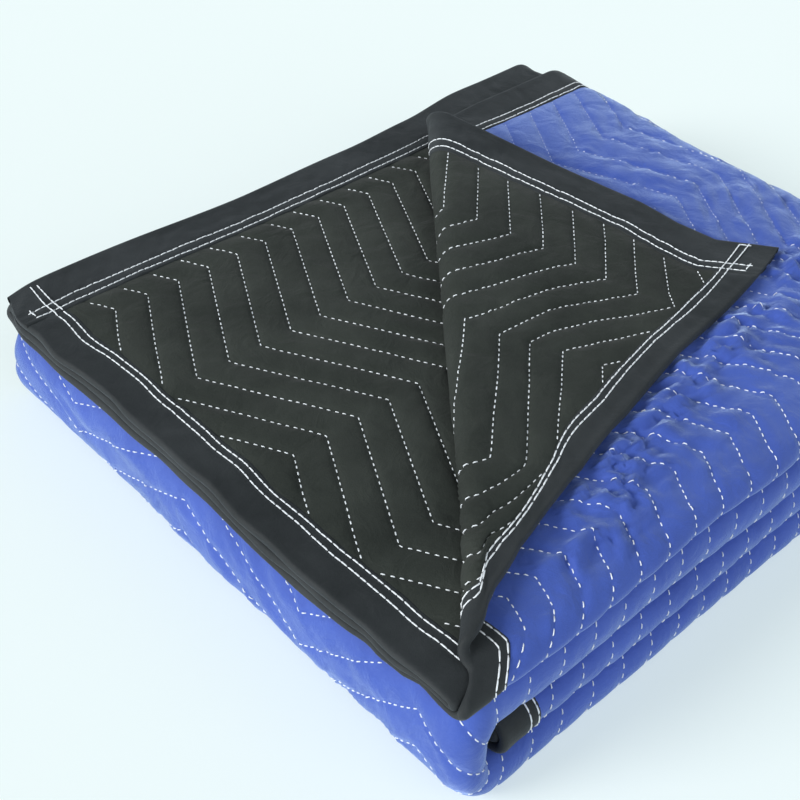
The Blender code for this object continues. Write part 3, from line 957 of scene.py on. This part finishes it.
# --- Quilting stitches --------------------------------------------------------------------------
# White polyester thread, a stitch every 5 mm along the zigzag rows through both faces and the
# filling. Each stitch is a short thread that dips into the cloth at both its ends.
white_thread = woven(
    "white_thread",
    dark=(0.76, 0.81, 0.88),
    light=(0.90, 0.94, 0.99),
    sheen=0.3,
    sheen_tint=(1.0, 1.0, 1.0),
    roughness=0.55,
    threads=3000.0,
    relief=0.0002,
    crease=0.0002,
)
PITCH, DASH, DIP = 5.0, 3.0, 0.45
BLUE_THREAD, BLACK_THREAD = 0.38, 0.42  # half its thickness
STITCH_RINGS = np.array((-0.5, -0.28, 0.28, 0.5))  # shares of its length
STITCH_GIRTHS = np.array((0.6, 1.0, 1.0, 0.6))
STITCH_SIDES = 5
STITCH_RISE = 0.24
START_SWAY, START_CHANGE = 0.35, 2.3
PITCH_SWAY, PITCH_CHANGE = 0.25, 1.7


def unit(vectors):
    return vectors / np.maximum(np.linalg.norm(vectors, axis=-1, keepdims=True), 1e-9)


def stitch_faces(count):
    """The sides and caps of a row of stitches, each a chain of rings."""
    n, last = STITCH_SIDES, STITCH_SIDES * (len(STITCH_RINGS) - 1)
    pairs = [(j, (j + 1) % n) for j in range(n)]
    sides = [(i + j, i + k, i + n + k, i + n + j) for i in range(0, last, n) for j, k in pairs]
    caps = [tuple(reversed(range(n))), tuple(range(last, last + n))]
    start = (last + n) * np.arange(count)[:, None, None]
    return [(start + np.array(k)).reshape(-1, len(k[0])) for k in (sides, caps)]


def sewn(name, runs, dash, thick, dip):
    """Stitches along runs over the flat cloth; a run is s, t and a function for the height there."""
    parts = []
    for number, (s, t, height) in enumerate(runs):
        along = np.concatenate(([0.0], np.cumsum(np.hypot(np.diff(s), np.diff(t)))))
        first = PITCH * (0.5 + START_SWAY * math.sin(START_CHANGE * number))
        middle = np.arange(first, along[-1] - 0.5 * dash, PITCH)
        if not len(middle):
            continue
        middle = middle + PITCH_SWAY * np.sin(middle * PITCH_CHANGE + number)
        ring = middle[:, None] + dash * STITCH_RINGS
        ring_s, ring_t = np.interp(ring, along, s), np.interp(ring, along, t)
        h = height(ring_s, ring_t)
        rise = np.array((-dip, STITCH_RISE, STITCH_RISE, -dip))
        centre = place(ring_s, ring_t, h + np.sign(h) * rise)
        above = place(ring_s, ring_t, h + np.sign(h) * (rise + 1.0))
        parts.append(np.concatenate((centre, above), axis=-1))
    both = np.concatenate(parts)
    centre, up = both[..., :3], unit(both[..., 3:] - both[..., :3])
    across = unit(np.cross(unit(centre[:, 3:4] - centre[:, 0:1]), up))
    around = np.linspace(0.0, 2.0 * math.pi, STITCH_SIDES, endpoint=False)[:, None]
    spoke = np.cos(around) * up[:, :, None] + np.sin(around) * across[:, :, None]
    rings = centre[:, :, None] + (thick * STITCH_GIRTHS * MM)[:, None, None] * spoke
    rings[..., 2] = np.maximum(rings[..., 2], 0.0)
    piece = soft_piece(name, rings.reshape(-1, 3), stitch_faces(len(rings)), white_thread)
    return piece


FIRST_ROW, ROWS_END = -3, 96
SHORTEST_RUN = 4


def stretches(shown):
    """Starts and ends of the stretches, longer than the shortest run, that are shown."""
    edges = np.flatnonzero(np.diff(np.concatenate(([0], shown, [0]))))
    return [(a, b) for a, b in zip(edges[::2], edges[1::2]) if b - a > SHORTEST_RUN]


def quilt_runs(height, windows):
    """Sewn rows inside windows of the flat cloth: s from, s to, t from, t to."""
    runs = []
    for s_low, s_high, t_low, t_high in windows:
        t = np.arange(t_low, t_high + 0.01, 1.0)
        for k in range(FIRST_ROW, ROWS_END):
            s = row_s(k, t)
            for a, b in stretches((s > s_low) & (s < s_high)):
                runs.append((s[a:b], t[a:b], height))
    return runs


BLUE_UNTIL, BLACK_FROM = 0.6, 0.2  # parts of the roll


def not_under(runs, side):
    """Leave out what no one can see: one side under the turned corner, the other before it."""
    kept = []
    for s, t, height in runs:
        behind, radius = roll_at(*plan(END_FIRST + s, EDGE_FIRST + t))
        turns = behind / (math.pi * radius)
        for a, b in stretches(turns < BLUE_UNTIL if side == BLUE_SIDE else turns > BLACK_FROM):
            kept.append((s[a:b], t[a:b], height))
    return kept


DEEPER, DEEPER_S = 0.48, (330.0, 440.0)


def sunk_thread(s, t):
    """At the far end the filling is plumper, and the thread lies deeper in it."""
    return blue_height(s, t) - DEEPER * ease(*DEEPER_S, s)


CLEAR_END = END_WIDTH + 1.0
CLEAR_BACK, CLEAR_FRONT = LONG_WIDTH[BLACK_SIDE] + 1.0, LONG_WIDTH[BLUE_SIDE] + 1.0
top_runs = quilt_runs(sunk_thread, [(CLEAR_END, FOLD_ONE, CLEAR_FRONT, LAYER_ONE)])
blue_runs = not_under(top_runs, BLUE_SIDE) + quilt_runs(
    blue_height,
    [
        (CLEAR_END, LENGTH - CLEAR_END, LAYER_ONE, LAYER_ONE + 30.0),
        (FOLD_ONE, BACK_END, CLEAR_FRONT, LAYER_ONE),
        (FRONT_END, FRONT_END + 110.0, CLEAR_FRONT, LAYER_ONE),
        (CLEAR_END, LENGTH - CLEAR_END, FAR_FOLD - 5.0, FAR_FOLD_END + 4.5),
    ],
)
blue_stitches = sewn("blue_quilting_stitches", blue_runs, DASH, BLUE_THREAD, DIP)

corner_runs = quilt_runs(black_height, [(END_WIDTH, 430.0, CLEAR_BACK, LAYER_ONE)])
below_runs = quilt_runs(black_height, [(CLEAR_END, 520.0, 1300.0, WIDTH - CLEAR_BACK)])
black_runs = not_under(corner_runs, BLACK_SIDE) + below_runs
black_stitches = sewn("black_quilting_stitches", black_runs, DASH, BLACK_THREAD, DIP)

# --- Binding stitches ---------------------------------------------------------------------------
# Longer, heavier stitches of the same white thread, in two rows along each side of each tape. A
# short tack joins both rows where they begin.
TAPE_DASH, TAPE_THREAD, TAPE_DIP = 4.8, 0.50, 0.10
WANDER, WANDER_LENGTH = 0.7, 45.0
TACK_IN, TACK_BEFORE, TACK_BEYOND = 2.5, 2.5, 3.0


def long_tape_height(s, t, side, seed):
    """Height of a long tape at a place on the flat cloth."""
    return tape_height(s, np.minimum(t, WIDTH - t), side, 1.0, LONG_ROWS, seed)


def end_tape_height(s, t, side, seed):
    """Height of an end tape, or of the long tape over its ends."""
    h = tape_height(t, np.minimum(s, LENGTH - s), side, 1.0, END_ROWS, seed)
    return np.where(np.minimum(t, WIDTH - t) < LONG_WIDTH[side], side * TAPE_OUT, h)


def tape_stitches(name, spot, tape_top, rows, spans, seed):
    """Both rows and the tack of one tape, on spans along it: from, to, side."""
    runs = []
    for low, high, side in spans:
        height = partial(tape_top, side=side, seed=seed)
        along = np.arange(low, high, 1.0)
        for number, row in enumerate(rows[side]):
            d = row + WANDER * uneven(along / WANDER_LENGTH, float(number), seed)
            runs.append((*spot(along, d, side)[:2], height))
        tack = np.arange(rows[side][0] - TACK_BEFORE, rows[side][1] + TACK_BEYOND, 0.5)
        runs.append((*spot(np.full(len(tack), low + TACK_IN), tack, side)[:2], height))
    return sewn(name, runs, TAPE_DASH, TAPE_THREAD, TAPE_DIP)


LONG_SPANS = ((8.0, 560.0, BLACK_SIDE), (8.0, LENGTH - 8.0, BLUE_SIDE))
first_long_stitches = tape_stitches(
    "binding_long_first_stitches", on_long_first, long_tape_height, LONG_ROWS, LONG_SPANS, SEED_LONG_FIRST
)
last_long_stitches = tape_stitches(
    "binding_long_last_stitches", on_long_last, long_tape_height, LONG_ROWS, LONG_SPANS, SEED_LONG_LAST
)
FIRST_SPANS = (
    (2.5, LAYER_ONE, BLACK_SIDE),
    (5.0, WIDTH - 5.0, BLUE_SIDE),
    (1290.0, WIDTH - 2.5, BLACK_SIDE),
)
first_end_stitches = tape_stitches(
    "binding_end_first_stitches", on_end_first, end_tape_height, END_ROWS, FIRST_SPANS, SEED_END_FIRST
)
LAST_SPANS = ((5.0, LAYER_ONE + 40.0, BLUE_SIDE), (LAYER_ONE - 40.0, LAYER_ONE + 70.0, BLACK_SIDE))
last_end_stitches = tape_stitches(
    "binding_end_last_stitches", on_end_last, end_tape_height, END_ROWS, LAST_SPANS, SEED_END_LAST
)

# --- Floor, light and camera --------------------------------------------------------------------
# A plain pale floor that gives back a little light. The light is soft and even and comes from the
# left, and the camera looks down on the front corner.
FLOOR_REACH = 6.0
floor_mesh = bpy.data.meshes.new("floor")
corners = [(a * FLOOR_REACH, b * FLOOR_REACH, 0.0) for a, b in ((-1, -1), (1, -1), (1, 1), (-1, 1))]
floor_mesh.from_pydata(corners, [], [(0, 1, 2, 3)])
floor = bpy.data.objects.new("floor", floor_mesh)
bpy.context.scene.collection.objects.link(floor)
pale = bpy.data.materials.new("pale_floor")
pale.use_nodes = True
pale_surface = pale.node_tree.nodes["Principled BSDF"]
pale_surface.inputs["Base Color"].default_value = (0.46, 0.49, 0.49, 1.0)
pale_surface.inputs["Roughness"].default_value = 0.9
pale_surface.inputs["Emission Color"].default_value = (0.80, 0.93, 0.94, 1.0)
pale_surface.inputs["Emission Strength"].default_value = 0.55
floor_mesh.materials.append(pale)

sky = bpy.data.worlds.new("soft_light")
sky.use_nodes = True
sky.node_tree.nodes["Background"].inputs["Color"].default_value = (0.90, 0.98, 1.0, 1.0)
sky.node_tree.nodes["Background"].inputs["Strength"].default_value = 0.33
bpy.context.scene.world = sky
bpy.context.scene.view_settings.view_transform = "Standard"


def far_lamp(name, power, spread, colour, heading):
    """A large soft lamp so far away that its light is even over the whole floor."""
    light = bpy.data.lights.new(name, "SUN")
    light.energy = power
    light.angle = spread
    light.color = colour
    lamp = bpy.data.objects.new(name, light)
    lamp.rotation_euler = Vector(heading).to_track_quat("-Z", "Y").to_euler()
    bpy.context.scene.collection.objects.link(lamp)


far_lamp("key_light", power=3.1, spread=0.45, colour=(1.0, 1.0, 0.98), heading=(2.3, -1.0, -1.2))
far_lamp("fill_light", power=1.35, spread=1.2, colour=(0.96, 1.0, 1.0), heading=(0.15, 1.0, -0.45))

CAMERA_PLACE = (-0.579819, -0.422799, 0.581382)
CAMERA_TILT, CAMERA_ROLL, CAMERA_TURN = 50.0663, -2.7314, -44.8628  # degrees
lens = bpy.data.cameras.new("camera")
lens.lens = 56.65
lens.sensor_width = 36.0
lens.clip_start = 0.01
camera = bpy.data.objects.new("camera", lens)
camera.location = CAMERA_PLACE
camera.rotation_euler = [math.radians(k) for k in (CAMERA_TILT, CAMERA_ROLL, CAMERA_TURN)]
bpy.context.scene.collection.objects.link(camera)
bpy.context.scene.camera = camera

bpy.context.view_layer.update()
